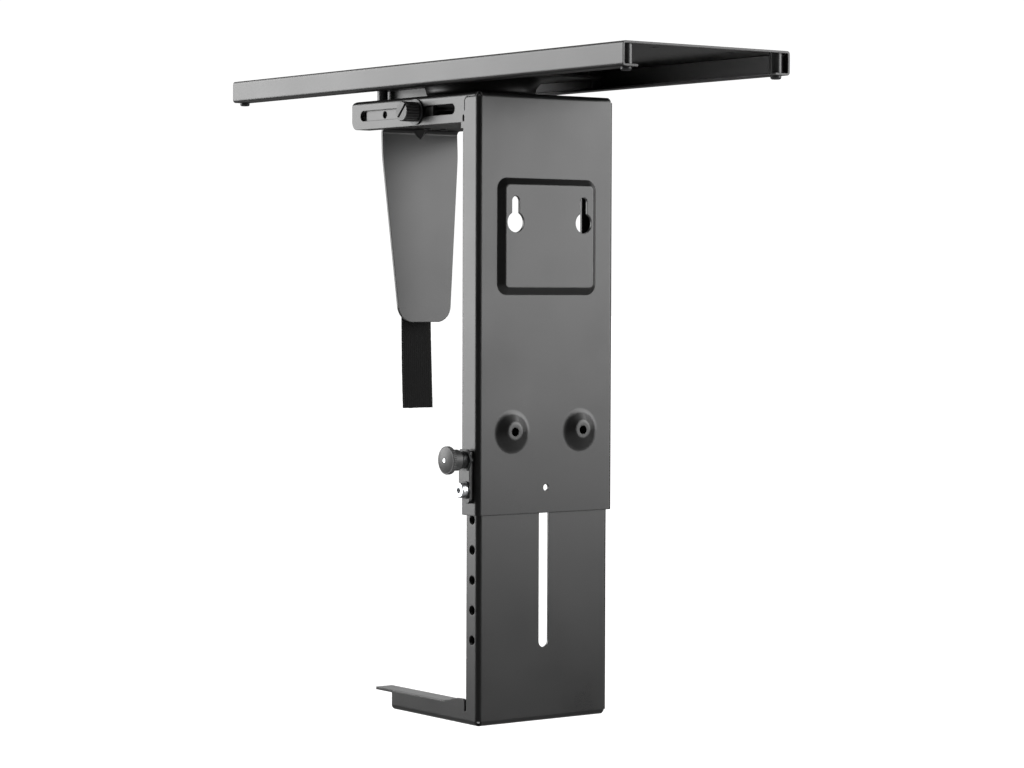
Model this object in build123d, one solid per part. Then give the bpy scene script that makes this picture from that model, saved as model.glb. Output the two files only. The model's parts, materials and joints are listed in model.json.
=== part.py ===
"""Under-desk CPU holder: a track that screws to the desk, a swivelling carriage,
an upper bracket, a height-adjustable lower bracket with a foot, and a side clamp.

The origin is the centre of the track's top face. +Z is up, Y runs along the track,
-Y is the side of the column and +Y the side of the clamp's tongue."""
from build123d import *
import math
import os

# ---------------------------------------------------------------- track
TRACK_LENGTH = 460.0
TRACK_WIDTH = 135.2
TRACK_HEIGHT = 15.5
TRACK_SHEET = 1.5
TRACK_BEND = 2.2           # outer radius
TRACK_LIP = 12.0
DESK_HOLE_DIA = 5.5
DESK_HOLE_SPACING_X = 62.0
DESK_HOLE_FROM_END = 15.0
STOP_FROM_SIDE = 6.9
STOP_FROM_END = 5.5
STOP_SCREW_DIA = 4.0
STOP_HEAD_DIA = 7.0
STOP_HEAD_HEIGHT = 2.4
STOP_SLEEVE_DIA = 8.0

# ---------------------------------------------------------------- carriage and swivel
SWIVEL_Y = 12.0
PLATE_LENGTH = 124.0
PLATE_WIDTH = 122.0
PLATE_SHEET = 2.0
PLATE_TOP = -6.0
PLATE_CORNER = 8.0
DISH_OUTER_RADIUS = 50.5
DISH_RIM_RADIUS = 38.6     # where the flare would meet the plate without its round
DISH_FLOOR_RADIUS = 36.2
DISH_ROUNDS = [11.0, 2.5]   # centre-line radii at the rim and the floor
DISH_FLOOR = -20.0         # underside of the dish
GLIDE_LENGTH = 104.0
GLIDE_WIDTH = 9.0
SWIVEL_BOLT_DIA = 10.0
SWIVEL_HEAD_DIA = 24.0
SWIVEL_WASHER_DIA = 66.0
SWIVEL_NUT_ACROSS = 16.0
SWIVEL_NUT_HEIGHT = 8.0
SWIVEL_HEAD_HEIGHT = 4.5
SWIVEL_FLAT_DIA = 22.0     # flat washer under the nut
SWIVEL_FLAT = 1.6
SWIVEL_BOLT_REACH = 11.5   # from the arm's inside to the bolt's end
GLIDE_OVERHANG = 4.2       # from the plate's side to the glide's outer face

# ---------------------------------------------------------------- upper bracket
SHEET = 1.8
BEND = 3.4                 # outer radius
UPPER_WIDTH = 113.2
UPPER_FRONT = -64.2        # outer face of the front plate
UPPER_DEPTH = 19.7
UPPER_LIP = 13.4
ARM_TOP = -21.6
ARM_WALL = 19.7
ARM_END = 86.8
ARM_LIP = 10.5
UPPER_BOTTOM = -301.0
ARM_CORNER = 6.0           # radius of the walls' lower end corners
FLAP_WIDTH = 102.0         # the arm's end, bent down between the clamp's flanges
FLAP_BOTTOM = -34.7
ARM_SLOT = (-37.2, 76.2)   # ends of the clamp's slot along Y
ARM_SLOT_WIDTH = 7.0
ARM_SLOT_Z = -32.0
RELIEF_Y = -47.3           # the notch between the arm's walls and the column's flanges
RELIEF_Z = -38.6
RELIEF_SIZE = (4.4, 1.8)
SEAM_Y = -48.6             # the welded seam where an arm wall meets a flange
SEAM_TOP = -24.8
SEAM_WIDTH = 0.5
SEAM_DEPTH = 0.7

PANEL_WIDTH = 82.0
PANEL_TOP = -77.8
PANEL_BOTTOM = -155.2
PANEL_RISE = 3.5
PANEL_SLOPE = 4.5
PANEL_ROUND = 2.0
PANEL_INSET = 1.08         # from the panel's outline to its hollow's
KEYHOLE_SPACING = 56.6
KEYHOLE_Z = -107.1
KEYHOLE_DIA = 13.6
KEYHOLE_SLOT = 6.1
KEYHOLE_SLOT_TOP = -89.9
DIMPLE_Z = -246.0
DIMPLE_BASE_DIA = 26.0
DIMPLE_FLAT_DIA = 12.0
DIMPLE_RISE = 3.7
DIMPLE_ROUNDS = [7.0, 4.0]
DIMPLE_HOLE_DIA = 5.8
SIGHT_HOLE_DIA = 4.5
SIGHT_HOLE_Z = -284.0

# ---------------------------------------------------------------- lower bracket
LOWER_WIDTH = 108.8
LOWER_DEPTH = 15.3
LOWER_CHEEK_BACK = -48.9   # rear edge of the side walls below the column's lips
LOWER_GAP = 0.4            # between the two front plates
LOWER_LIP = 12.0
LOWER_TOP = -150.0
LOWER_BOTTOM = -441.0
LOWER_LIP_BOTTOM = -398.0
LOCK_PITCH = 20.0
LOCK_HOLE_DIA = 6.2
LOCK_HOLE_Y = -55.5
LOCK_HOLE_LOWEST = -384.0
LOCK_HOLE_COUNT = 12
SLOT_WIDTH = 8.2
SLOT_BOTTOM = -391.5
SLOT_TOP = -190.0
FOOT_END = 39.3
FOOT_WALL = 13.0
FOOT_SHOULDER = 17.0
FOOT_SHOULDER_END = -41.0  # where the S begins
FOOT_ROUND = 2.5
FOOT_LIP = 15.7
FOOT_LIP_START = -20.0
FOOT_LIP_END = 62.5

# ---------------------------------------------------------------- latch on the left flange
PLUNGER_Z = -264.0
LOCK_SCREW_Z = -284.0
BLOCK_THICKNESS = 3.4
BLOCK_Y = (-59.8, -47.8)
BLOCK_Z = (-293.4, -258.0)
BLOCK_TIP = 2.2            # from the block's front edge to its lowest point
BLOCK_CUT = 7.4            # height of the sloping cut behind the lock screw
BLOCK_ROUND = 1.2
PIN_DIA = 5.5
PIN_TRAVEL = 5.0
BARREL_DIA = 11.5
BARREL_ROOT_DIA = 9.1      # where it screws into the block
BARREL_LENGTH = 7.5        # outside the block
CHAMBER_DIA = 8.4
SPRING_COLLAR_DIA = 7.8
PLUNGER_NUT_ACROSS = 14.0
PLUNGER_NUT_THICKNESS = 1.6
KNOB_DIA = 18.7
KNOB_SKIRT_DIA = 14.1
KNOB_FRONT = -75.9
KNOB_THICKNESS = 3.0       # of its disc
KNOB_DOME = 1.3
STEM_RADIUS = 1.5
LOCK_SCREW_DIA = 5.0
LOCK_HEAD_DIA = 10.2
LOCK_HEAD_HEIGHT = 3.0
LOCK_SOCKET_ACROSS = 4.0
LOCK_SOCKET_DEPTH = 1.8
LOCK_WASHER_DIA = 11.8
LOCK_WASHER_THICKNESS = 1.0
SPRING_WASHER_THICKNESS = 1.4
SPLIT_GAP = 0.6

# ---------------------------------------------------------------- clamp and strap
CLAMP_CLEARANCE = 0.3
CLAMP_START = -9.0
CLAMP_FLANGE_END = 71.8
CLAMP_FLANGE_TOP = -24.4
CLAMP_SPARE_HOLE_Y = 48.9
THUMB_Y = 7.9
TONGUE_Y = 87.4            # outer face at the top
TONGUE_LEAN = 6.7
TONGUE_SHOULDER = -58.0    # where the sides begin to taper
TONGUE_BOTTOM = -175.0
TONGUE_TOP_WIDTH = 64.0
TONGUE_BOTTOM_WIDTH = 42.8
TONGUE_CORNER = 12.0
GUSSET_WIDTH = 17.0
GUSSET_DEPTH = 8.0
THUMB_DIA = 5.0
THUMB_HEAD_DIA = 13.5
THUMB_HEAD_LENGTH = 10.6
THUMB_SLOT = 2.0           # width of the screwdriver slot
THUMB_WASHER_DIA = 17.2
THUMB_WASHER_THICKNESS = 0.9
THUMB_NUT_ACROSS = 8.0
THUMB_NUT_HEIGHT = 4.5
STRAP_WIDTH = 26.0
STRAP_THICKNESS = 1.6
STRAP_START = 60.0
STRAP_BOTTOM = -236.0
STRAP_CLEARANCE = 2.4
RIVET_HEAD = 0.8           # height
RIVET_HEAD_RADIUS = 3.4
RIVET_SHANK_RADIUS = 1.55
RIVET_FROM_END = 6.0       # from the strap's end

RUNNING = 0.05             # radial clearance of a running fit
MID_BEND = BEND - SHEET / 2
UPPER_SIDE = UPPER_WIDTH / 2
UPPER_INNER = UPPER_SIDE - SHEET
UPPER_BACK = UPPER_FRONT + UPPER_DEPTH
LOWER_SIDE = LOWER_WIDTH / 2
LOWER_FRONT = UPPER_FRONT + SHEET + LOWER_GAP
LOWER_BACK = LOWER_FRONT + LOWER_DEPTH
ARM_BOTTOM = ARM_TOP - ARM_WALL
LIP_TOP = -TRACK_HEIGHT + TRACK_SHEET
BLOCK_FACE = -UPPER_SIDE - BLOCK_THICKNESS


# ---------------------------------------------------------------- helpers
def box(x, y, z):
    """A box from its (low, high) pair along each axis."""
    size = [pair[1] - pair[0] for pair in (x, y, z)]
    middle = [(pair[1] + pair[0]) / 2 for pair in (x, y, z)]
    return Pos(*middle) * Box(*size)


def rod_x(radius, x, y, z):
    """A cylinder along X between the two values of x."""
    return Pos((x[0] + x[1]) / 2, y, z) * Rot(0, 90, 0) * Cylinder(radius, abs(x[1] - x[0]))


def rod_y(radius, x, y, z):
    """A cylinder along Y between the two values of y."""
    return Pos(x, (y[0] + y[1]) / 2, z) * Rot(90, 0, 0) * Cylinder(radius, abs(y[1] - y[0]))


def rod_z(radius, x, y, z):
    """A cylinder along Z between the two values of z."""
    return Pos(x, y, (z[0] + z[1]) / 2) * Cylinder(radius, abs(z[1] - z[0]))


def band(points, thickness, radius):
    """A strip's cross-section about its centre line, with round bends."""
    if len(points) == 2:
        line = Line(*points)
    else:
        line = FilletPolyline(*points, radius=radius)
    return trace(line, thickness)


def along_x(sketch, x):
    """Extrude a (Y, Z) sketch along X."""
    plane = Plane(origin=(x[0], 0, 0), x_dir=(0, 1, 0), z_dir=(1, 0, 0))
    return extrude(plane * sketch, x[1] - x[0])


def along_y(sketch, y):
    """Extrude an (X, Z) sketch along Y."""
    plane = Plane(origin=(0, y[1], 0), x_dir=(1, 0, 0), z_dir=(0, -1, 0))
    return extrude(plane * sketch, y[1] - y[0])


def along_z(sketch, z):
    """Extrude an (X, Y) sketch along Z."""
    return extrude(Plane(origin=(0, 0, z[0])) * sketch, z[1] - z[0])


def both_sides(solid):
    """A solid and its mirror image across the YZ plane."""
    return solid + mirror(solid, about=Plane.YZ)


def hexagon(across, depth, axis_plane):
    """A hexagonal prism, across its flats."""
    return extrude(axis_plane * RegularPolygon(across / 2, 6, major_radius=False), depth)


def x_plane(x, y, z, direction=1):
    """A plane at a point, facing along X."""
    return Plane(origin=(x, y, z), x_dir=(0, 1, 0), z_dir=(direction, 0, 0))


def save(shape, name):
    """Write one node."""
    export_step(shape, f"parts/{name}.step")


# ---------------------------------------------------------------- track
def stop_places():
    """The four end stops, as (x, y)."""
    x = TRACK_WIDTH / 2 - STOP_FROM_SIDE
    y = TRACK_LENGTH / 2 - STOP_FROM_END
    return [(sx * x, sy * y) for sx in (-1, 1) for sy in (-1, 1)]


def track():
    half = TRACK_WIDTH / 2
    mid = TRACK_SHEET / 2
    points = [
        (-half + TRACK_LIP, -TRACK_HEIGHT + mid),
        (-half + mid, -TRACK_HEIGHT + mid),
        (-half + mid, -mid),
        (half - mid, -mid),
        (half - mid, -TRACK_HEIGHT + mid),
        (half - TRACK_LIP, -TRACK_HEIGHT + mid),
    ]
    section = band(points, TRACK_SHEET, TRACK_BEND - mid)
    shape = along_y(section, (-TRACK_LENGTH / 2, TRACK_LENGTH / 2))
    for x, y in stop_places():
        shape -= rod_z(STOP_SCREW_DIA / 2 + RUNNING, x, y, (-TRACK_HEIGHT - 1, LIP_TOP + 1))
    for sx in (-1, 1):
        for sy in (-1, 1):
            x = sx * DESK_HOLE_SPACING_X / 2
            y = sy * (TRACK_LENGTH / 2 - DESK_HOLE_FROM_END)
            shape -= rod_z(DESK_HOLE_DIA / 2, x, y, (-TRACK_SHEET - 1, 1))
    return shape


def end_stop_screws():
    shapes = []
    recess_width = 1.1
    for x, y in stop_places():
        low = -TRACK_HEIGHT - STOP_HEAD_HEIGHT
        head = rod_z(STOP_HEAD_DIA / 2, x, y, (low, -TRACK_HEIGHT))
        head = fillet(head.edges().group_by(Axis.Z)[0], 1.3)
        for size in ((4.2, recess_width), (recess_width, 4.2)):
            head -= Pos(x, y, low + 0.6) * Box(size[0], size[1], 1.2)
        shank = rod_z(STOP_SCREW_DIA / 2, x, y, (-TRACK_HEIGHT, -TRACK_SHEET - 0.6))
        shapes.append(head + shank)
    return Compound(children=shapes)


def end_stop_sleeves():
    shapes = []
    for x, y in stop_places():
        sleeve = rod_z(STOP_SLEEVE_DIA / 2, x, y, (LIP_TOP, -TRACK_SHEET))
        bore = rod_z(STOP_SCREW_DIA / 2 + RUNNING, x, y, (LIP_TOP, -TRACK_SHEET))
        shapes.append(sleeve - bore)
    return Compound(children=shapes)


# ---------------------------------------------------------------- carriage and swivel
def carriage_plate():
    """A flat plate with a round dish pressed down in its middle."""
    mid = PLATE_SHEET / 2
    points = [
        (DISH_OUTER_RADIUS, PLATE_TOP - mid),
        (DISH_RIM_RADIUS, PLATE_TOP - mid),
        (DISH_FLOOR_RADIUS, DISH_FLOOR + mid),
        (SWIVEL_BOLT_DIA / 2 + RUNNING, DISH_FLOOR + mid),
    ]
    section = Plane.XZ * band(points, PLATE_SHEET, DISH_ROUNDS)
    dish = revolve(section, Axis.Z)
    plate = extrude(RectangleRounded(PLATE_WIDTH, PLATE_LENGTH, PLATE_CORNER), PLATE_SHEET)
    plate = Pos(0, 0, PLATE_TOP - PLATE_SHEET) * plate
    cut = (PLATE_TOP - PLATE_SHEET - 1, PLATE_TOP + 1)
    plate -= rod_z(DISH_OUTER_RADIUS - 1, 0, 0, cut)
    return Pos(0, SWIVEL_Y, 0) * (plate + dish)


def carriage_glides():
    """Two plastic strips that wrap the plate's sides and ride in the track."""
    shapes = []
    outer = PLATE_WIDTH / 2 + GLIDE_OVERHANG
    low = LIP_TOP + CLAMP_CLEARANCE
    high = -TRACK_SHEET - CLAMP_CLEARANCE
    slot = (PLATE_TOP - PLATE_SHEET, PLATE_TOP)
    y = (SWIVEL_Y - GLIDE_LENGTH / 2, SWIVEL_Y + GLIDE_LENGTH / 2)
    for side in (-1, 1):
        x = sorted((side * outer, side * (outer - GLIDE_WIDTH)))
        glide = box(x, y, (low, high))
        glide = fillet(glide.edges().filter_by(Axis.Z), 1.5)
        inner = sorted((side * PLATE_WIDTH / 2, side * (outer - GLIDE_WIDTH - 1)))
        shapes.append(glide - box(inner, (y[0] - 1, y[1] + 1), slot))
    return Compound(children=shapes)


def swivel_washer():
    """A plastic ring on the arm that the dish turns over."""
    thickness = DISH_FLOOR - CLAMP_CLEARANCE - ARM_TOP
    ring = rod_z(SWIVEL_WASHER_DIA / 2, 0, SWIVEL_Y, (ARM_TOP, ARM_TOP + thickness))
    return ring - rod_z(SWIVEL_BOLT_DIA / 2 + RUNNING, 0, SWIVEL_Y, (ARM_TOP - 1, 0))


def swivel_bolt():
    """A low-head bolt that hangs the arm from the dish."""
    seat = DISH_FLOOR + PLATE_SHEET + CLAMP_CLEARANCE
    head = rod_z(SWIVEL_HEAD_DIA / 2, 0, SWIVEL_Y, (seat, seat + SWIVEL_HEAD_HEIGHT))
    head = fillet(head.edges().group_by(Axis.Z)[-1], 1.8)
    shank = rod_z(SWIVEL_BOLT_DIA / 2, 0, SWIVEL_Y, (ARM_TOP - SHEET - SWIVEL_BOLT_REACH, seat))
    socket = hexagon(6, 3, Plane(origin=(0, SWIVEL_Y, seat + 2)))
    return head + shank - socket


def swivel_bolt_washer():
    top = ARM_TOP - SHEET
    ring = rod_z(SWIVEL_FLAT_DIA / 2, 0, SWIVEL_Y, (top - SWIVEL_FLAT, top))
    return ring - rod_z(SWIVEL_BOLT_DIA / 2 + RUNNING, 0, SWIVEL_Y, (top - 3, top + 1))


def swivel_nut():
    top = ARM_TOP - SHEET - SWIVEL_FLAT
    low = top - SWIVEL_NUT_HEIGHT
    nut = hexagon(SWIVEL_NUT_ACROSS, SWIVEL_NUT_HEIGHT, Plane(origin=(0, SWIVEL_Y, low)))
    return nut - rod_z(SWIVEL_BOLT_DIA / 2 + RUNNING, 0, SWIVEL_Y, (low - 1, top + 1))


# ---------------------------------------------------------------- upper bracket
def rounded_frustum(width, height, slope, rise, corner):
    """A raised panel's body, from its wide base at z = 0 to its face at z = rise."""
    base = RectangleRounded(width, height, corner + slope)
    face = Pos(0, 0, rise) * RectangleRounded(width - 2 * slope, height - 2 * slope, corner)
    return loft([base.face(), face.face()])


def front_plane(x, z, depth=0.0):
    """A plane on the upper bracket's front plate, facing outwards."""
    return Plane(origin=(x, UPPER_FRONT + depth, z), x_dir=(1, 0, 0), z_dir=(0, -1, 0))


def keyhole(x):
    """A keyhole's cutter, right through the panel."""
    y = (UPPER_FRONT - 10, UPPER_FRONT + 10)
    head = rod_y(KEYHOLE_DIA / 2, x, y, KEYHOLE_Z)
    slot_top = KEYHOLE_SLOT_TOP - KEYHOLE_SLOT / 2
    half = KEYHOLE_SLOT / 2
    slot = box((x - half, x + half), y, (KEYHOLE_Z, slot_top))
    return head + slot + rod_y(half, x, y, slot_top)


def upper_shell():
    """The bent sheet before its panel, dimples and holes."""
    mid = SHEET / 2
    inset = UPPER_SIDE - BEND
    side = -UPPER_SIDE + mid
    front = UPPER_FRONT + mid
    back = UPPER_BACK - mid
    top = ARM_TOP - mid

    spine = [(front, UPPER_BOTTOM), (front, top), (ARM_END - BEND, top)]
    shape = along_x(band(spine, SHEET, MID_BEND), (-inset, inset)) + arm_flap()

    start = 1 - inset
    flange = [(start, front), (side, front), (side, back), (-UPPER_SIDE + UPPER_LIP, back)]
    shape += both_sides(along_z(band(flange, SHEET, MID_BEND), (UPPER_BOTTOM, ARM_BOTTOM - 3)))

    cheek = band(flange[:2] + [(side, UPPER_BACK)], SHEET, MID_BEND)
    shape += both_sides(along_z(cheek, (ARM_BOTTOM - 4, ARM_TOP - BEND)))

    wall = [(start, top), (side, top), (side, ARM_BOTTOM)]
    wall_y = (UPPER_FRONT + BEND, ARM_END)
    shape += both_sides(along_y(band(wall, SHEET, MID_BEND), wall_y))

    low = ARM_BOTTOM + mid
    lip = [(side, ARM_BOTTOM + ARM_WALL / 2), (side, low), (-UPPER_SIDE + ARM_LIP, low)]
    shape += both_sides(along_y(band(lip, SHEET, MID_BEND), (UPPER_BACK + 2, ARM_END)))
    return shape


def arm_flap():
    """The arm's end, bent down from its top between the two walls."""
    mid = SHEET / 2
    top = ARM_TOP - mid
    end = ARM_END - mid
    line = [(ARM_END - 3 * BEND, top), (end, top), (end, FLAP_BOTTOM)]
    return along_x(band(line, SHEET, MID_BEND), (-FLAP_WIDTH / 2, FLAP_WIDTH / 2))


def end_corner(x, radius, edge, way):
    """What to cut off to round the arm's end at its top (way 1) or its bottom (way -1)."""
    y = (ARM_END - radius, ARM_END + 1)
    z = sorted((edge - way * radius, edge + way))
    return box(x, y, z) - rod_x(radius, x, ARM_END - radius, edge - way * radius)


def wall_seam():
    """The notch and the weld line where the arm's left wall meets the column's flange."""
    wall = (-UPPER_SIDE - 1, -UPPER_INNER + 1)
    notch = Pos(RELIEF_Y, RELIEF_Z) * SlotOverall(*RELIEF_SIZE, rotation=90)
    corner = [(SEAM_Y, RELIEF_Z + 5), (SEAM_Y, SEAM_TOP), (UPPER_FRONT + BEND, SEAM_TOP)]
    line = band(corner, SEAM_WIDTH, 3.0)
    return along_x(notch, wall) + along_x(line, (wall[0], -UPPER_SIDE + SEAM_DEPTH))


def pressed_cone():
    """A raised cone with soft rounds at its base and its flat, as a solid of revolution."""
    outer = DIMPLE_BASE_DIA / 2 + 3
    flat = DIMPLE_FLAT_DIA / 2
    with BuildSketch(Plane.XZ) as sketch:
        with BuildLine():
            FilletPolyline(
                (outer, 0),
                (DIMPLE_BASE_DIA / 2, 0),
                (flat, DIMPLE_RISE),
                (0, DIMPLE_RISE),
                radius=DIMPLE_ROUNDS,
            )
            Polyline((0, DIMPLE_RISE), (0, -SHEET / 2), (outer, -SHEET / 2), (outer, 0))
        make_face()
    return revolve(sketch.sketch, Axis.Z)


def upper_bracket():
    shape = upper_shell()

    # raised panel with two keyholes
    height = PANEL_TOP - PANEL_BOTTOM
    middle = (PANEL_TOP + PANEL_BOTTOM) / 2
    proud = rounded_frustum(PANEL_WIDTH, height, PANEL_SLOPE, PANEL_RISE, 3)
    proud = fillet(proud.edges().group_by(Axis.Z)[-1], PANEL_ROUND)
    trim = 2 * PANEL_INSET
    hollow = rounded_frustum(PANEL_WIDTH - trim, height - trim, PANEL_SLOPE, PANEL_RISE, 2)
    shape += front_plane(0, middle) * proud
    shape -= front_plane(0, middle, SHEET) * hollow
    for sx in (-1, 1):
        shape -= keyhole(sx * KEYHOLE_SPACING / 2)

    # two raised cones, each with a hole
    for sx in (-1, 1):
        x = sx * KEYHOLE_SPACING / 2
        inner = Cone(DIMPLE_BASE_DIA / 2 - 1, DIMPLE_FLAT_DIA / 2 - 1, DIMPLE_RISE)
        shape += front_plane(x, DIMPLE_Z) * pressed_cone()
        shape -= front_plane(x, DIMPLE_Z, SHEET) * Pos(0, 0, DIMPLE_RISE / 2) * inner
        shape -= rod_y(DIMPLE_HOLE_DIA / 2, x, (UPPER_FRONT - 8, UPPER_FRONT + 3), DIMPLE_Z)
    sight_y = (UPPER_FRONT - 2, UPPER_FRONT + 3)
    shape -= rod_y(SIGHT_HOLE_DIA / 2, 0, sight_y, SIGHT_HOLE_Z)

    # clamp slots in both walls of the arm
    slot_middle = sum(ARM_SLOT) / 2
    slot = SlotOverall(ARM_SLOT[1] - ARM_SLOT[0], ARM_SLOT_WIDTH)
    slot = Pos(slot_middle, ARM_SLOT_Z) * slot
    shape -= along_x(slot, (-UPPER_SIDE - 1, UPPER_SIDE + 1))

    # latch holes in the left flange
    left = (-UPPER_SIDE - 1, -UPPER_INNER + 1)
    shape -= rod_x(PIN_DIA / 2 + RUNNING, left, LOCK_HOLE_Y, PLUNGER_Z)
    shape -= rod_x(LOCK_SCREW_DIA / 2 + RUNNING, left, LOCK_HOLE_Y, LOCK_SCREW_Z)

    # swivel hole, wall seams and the arm's rounded end
    shape -= rod_z(SWIVEL_BOLT_DIA / 2 + RUNNING, 0, SWIVEL_Y, (ARM_TOP - 3, ARM_TOP + 1))
    shape -= both_sides(wall_seam())
    beside_flap = (-UPPER_SIDE - 1, -FLAP_WIDTH / 2 - 0.6)
    shape -= both_sides(end_corner(beside_flap, BEND, ARM_TOP, 1))
    return shape - end_corner((-UPPER_SIDE - 1, UPPER_SIDE + 1), ARM_CORNER, ARM_BOTTOM, -1)


# ---------------------------------------------------------------- lower bracket
def foot_wall():
    """One side of the foot: a low wall that rises in an S to a shoulder near the column."""
    high = LOWER_BOTTOM + FOOT_SHOULDER
    low = LOWER_BOTTOM + FOOT_WALL
    middle = (high + low) / 2
    start = LOWER_CHEEK_BACK + SHEET
    with BuildSketch() as sketch:
        with BuildLine():
            Polyline(
                (FOOT_LIP_START, low),
                (FOOT_END, low),
                (FOOT_END, LOWER_BOTTOM + BEND),
                (LOWER_FRONT + BEND, LOWER_BOTTOM + BEND),
                (LOWER_FRONT + BEND, LOWER_BOTTOM + 9),
                (start, LOWER_BOTTOM + 9),
                (start, high - FOOT_ROUND),
            )
            RadiusArc((start, high - FOOT_ROUND), (start + FOOT_ROUND, high), FOOT_ROUND)
            Line((start + FOOT_ROUND, high), (FOOT_SHOULDER_END, high))
            Spline(
                (FOOT_SHOULDER_END, high),
                ((FOOT_SHOULDER_END + FOOT_LIP_START) / 2, middle),
                (FOOT_LIP_START, low),
                tangents=[(1, 0), (1, 0)],
            )
        make_face()
    return along_x(sketch.sketch, (-LOWER_SIDE, -LOWER_SIDE + SHEET))


def lower_shell():
    """The bent sheet before its holes."""
    mid = SHEET / 2
    inset = LOWER_SIDE - BEND
    side = -LOWER_SIDE + mid
    front = LOWER_FRONT + mid
    back = LOWER_BACK - mid
    floor = LOWER_BOTTOM + mid

    spine = band([(front, LOWER_TOP), (front, floor), (FOOT_END, floor)], SHEET, MID_BEND)
    shape = along_x(spine, (-inset, inset))

    start = 1 - inset
    channel = [(start, front), (side, front), (side, back), (-LOWER_SIDE + LOWER_LIP, back)]
    shape += both_sides(along_z(band(channel, SHEET, MID_BEND), (LOWER_LIP_BOTTOM, LOWER_TOP)))
    cheek = band(channel[:2] + [(side, LOWER_CHEEK_BACK)], SHEET, MID_BEND)
    cheek_z = (LOWER_BOTTOM + BEND, LOWER_LIP_BOTTOM + 1)
    shape += both_sides(along_z(cheek, cheek_z))

    edge = [(start, floor), (side, floor), (side, LOWER_BOTTOM + BEND + 1)]
    edge_y = (LOWER_FRONT + BEND, FOOT_END)
    shape += both_sides(along_y(band(edge, SHEET, MID_BEND), edge_y))
    shape += both_sides(foot_wall())

    # inward lips on top of the foot's walls, which run on past the floor
    top = LOWER_BOTTOM + FOOT_WALL
    lip = [(side, top - 6), (side, top - mid), (-LOWER_SIDE + FOOT_LIP, top - mid)]
    shape += both_sides(along_y(band(lip, SHEET, MID_BEND), (FOOT_LIP_START, FOOT_END)))
    tab = box((-LOWER_SIDE + 2, -LOWER_SIDE + FOOT_LIP), (FOOT_END - 1, FOOT_LIP_END),
              (top - SHEET, top))
    shape += both_sides(fillet(tab.edges().filter_by(Axis.Z).group_by(Axis.Y)[-1], 1))
    return shape


def lower_bracket():
    shape = lower_shell()

    # the wall's bend stops short of the S-shaped rise
    above = box((-LOWER_SIDE - 1, -LOWER_SIDE + 40), (FOOT_LIP_START - 2, FOOT_LIP_START),
                (LOWER_BOTTOM + FOOT_WALL - 0.05, LOWER_BOTTOM + 20))
    shape -= both_sides(above)

    # centre slot and the row of lock holes
    slot = SlotOverall(SLOT_TOP - SLOT_BOTTOM, SLOT_WIDTH, rotation=90)
    slot = Pos(0, (SLOT_TOP + SLOT_BOTTOM) / 2) * slot
    shape -= along_y(slot, (LOWER_FRONT - 1, LOWER_FRONT + SHEET + 1))
    left = (-LOWER_SIDE - 1, -LOWER_SIDE + SHEET + 1)
    for index in range(LOCK_HOLE_COUNT):
        z = LOCK_HOLE_LOWEST + index * LOCK_PITCH
        shape -= rod_x(LOCK_HOLE_DIA / 2, left, LOCK_HOLE_Y, z)
    return shape


# ---------------------------------------------------------------- latch
def latch_block():
    """The block both latch parts screw into, its lower rear corner cut away."""
    front, rear = BLOCK_Y
    low, high = BLOCK_Z
    outline = Polyline(
        (front, high),
        (rear, high),
        (rear, low + BLOCK_CUT),
        (front + BLOCK_TIP, low),
        (front, low + BLOCK_TIP),
        close=True,
    )
    face = make_face(outline)
    block = along_x(fillet(face.vertices(), BLOCK_ROUND), (BLOCK_FACE, -UPPER_SIDE))
    reach = (BLOCK_FACE - 1, -UPPER_SIDE + 1)
    block -= rod_x(BARREL_ROOT_DIA / 2 + RUNNING, reach, LOCK_HOLE_Y, PLUNGER_Z)
    block -= rod_x(LOCK_SCREW_DIA / 2 + RUNNING, reach, LOCK_HOLE_Y, LOCK_SCREW_Z)
    return block


def plunger_housing():
    """The threaded barrel, open at the flange and closed round the stem outside."""
    outer_end = BLOCK_FACE - BARREL_LENGTH
    root = rod_x(BARREL_ROOT_DIA / 2, (BLOCK_FACE, -UPPER_SIDE), LOCK_HOLE_Y, PLUNGER_Z)
    barrel = rod_x(BARREL_DIA / 2, (outer_end, BLOCK_FACE), LOCK_HOLE_Y, PLUNGER_Z)
    for index in range(3):
        x = BLOCK_FACE - 3.4 - index * 1.2
        ring = rod_x(BARREL_DIA / 2 + 1, (x, x + 0.5), LOCK_HOLE_Y, PLUNGER_Z)
        ring -= rod_x(BARREL_DIA / 2 - 0.35, (x, x + 0.5), LOCK_HOLE_Y, PLUNGER_Z)
        barrel -= ring
    chamber = rod_x(CHAMBER_DIA / 2, (outer_end + 1, -UPPER_SIDE), LOCK_HOLE_Y, PLUNGER_Z)
    stem = rod_x(STEM_RADIUS + RUNNING, (outer_end - 1, outer_end + 2), LOCK_HOLE_Y, PLUNGER_Z)
    return root + barrel - chamber - stem


def plunger_nut():
    """The thin lock nut against the block."""
    face = x_plane(BLOCK_FACE, LOCK_HOLE_Y, PLUNGER_Z, -1)
    nut = hexagon(PLUNGER_NUT_ACROSS, PLUNGER_NUT_THICKNESS, face)
    return nut - rod_x(BARREL_DIA / 2 + RUNNING, (BLOCK_FACE - 3, BLOCK_FACE + 1),
                       LOCK_HOLE_Y, PLUNGER_Z)


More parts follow.
